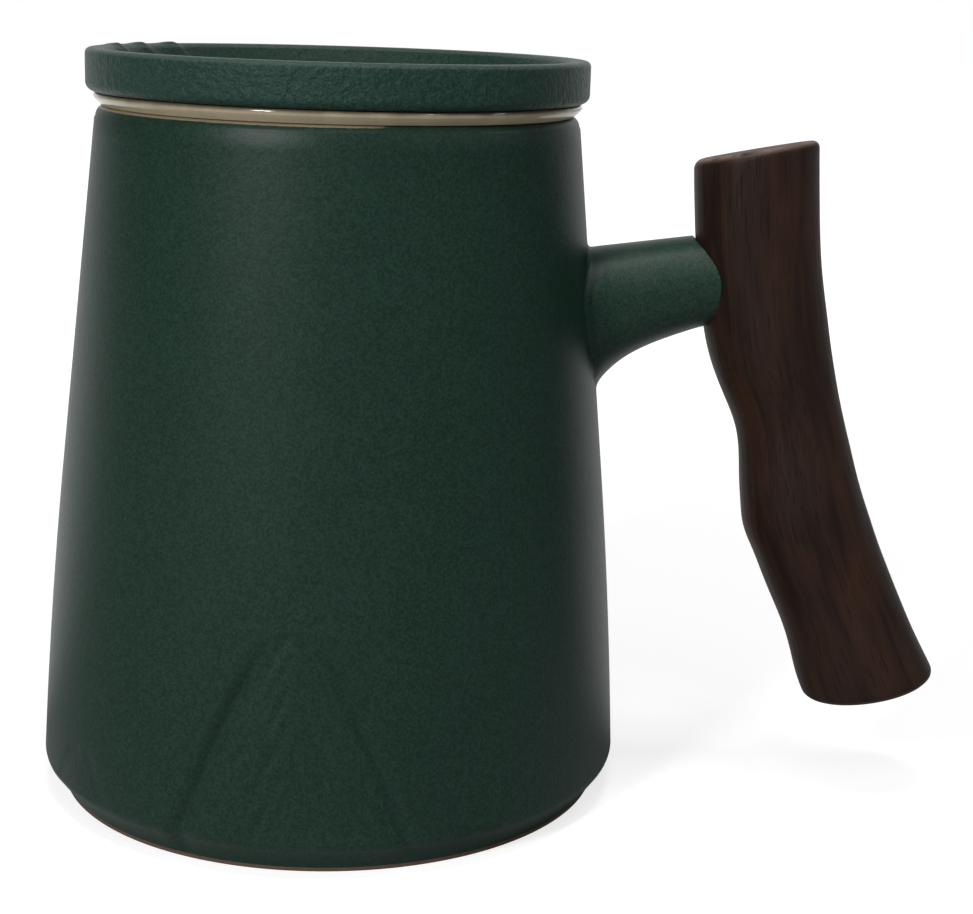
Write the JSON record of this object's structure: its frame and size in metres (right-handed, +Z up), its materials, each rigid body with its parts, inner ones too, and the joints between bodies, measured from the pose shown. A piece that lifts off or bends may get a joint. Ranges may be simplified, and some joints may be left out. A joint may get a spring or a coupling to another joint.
{
  "type": "lidded tea mug with infuser",
  "caption": "Tapered stoneware tea mug with a drop-in ceramic infuser, a dished lift-off lid and a branch-shaped wooden grip on a short ceramic neck.",
  "frame": {"origin": "the mug's axis at the table, in the middle of the flat foot", "axes": "+Z up along the mug's axis, +X from the mug's axis towards the grip, which lies in the plane Y = 0"},
  "size_m": [0.1678, 0.1074, 0.1346],
  "materials": {
    "green_stoneware": "matte dark green glaze, powdery",
    "tan_glaze": "glossy tan glaze",
    "dark_wood": "dark brown stained hardwood, oiled",
    "stud_steel": "zinc plated",
    "cement": "hardened filled adhesive, matte"
  },
  "bodies": {
    "cup": {"cup_body": "green_stoneware", "handle_grip": "dark_wood", "handle_stud": "stud_steel", "handle_cement": "cement"},
    "infuser": {"infuser_basket": "tan_glaze"},
    "lid": {"lid": "green_stoneware"}
  },
  "joints": [
    {"name": "infuser_lift", "type": "slide", "parent": "cup", "child": "infuser", "axis": [0, 0, 1], "range_m": [0, 0.09]},
    {"name": "lid_lift", "type": "slide", "parent": "infuser", "child": "lid", "axis": [0, 0, 1], "range_m": [0, 0.04]}
  ]
}
